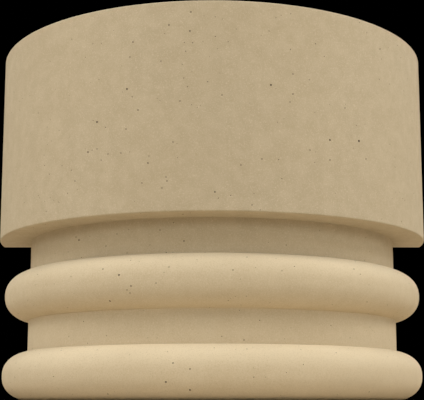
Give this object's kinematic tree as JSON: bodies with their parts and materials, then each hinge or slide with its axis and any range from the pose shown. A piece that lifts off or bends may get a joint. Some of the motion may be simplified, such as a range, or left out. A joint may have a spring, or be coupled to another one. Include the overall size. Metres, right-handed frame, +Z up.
{
  "type": "half-round column base",
  "caption": "Half-round cast stone column base: a tall plain drum overhangs rounded beads parted by plain necks; flat back, top and foot.",
  "frame": {"origin": "middle of the bounding box on the underside, half the drum's radius in front of the flat back", "axes": "+Z up, +X along the flat back, which faces +Y; the round front faces -Y"},
  "size_m": [0.4, 0.2, 0.3177],
  "materials": {
    "cast_stone": "matte buff cast stone with fine grain and a scatter of small dark pits"
  },
  "bodies": {
    "root": {"column_base": "cast_stone"}
  },
  "joints": []
}
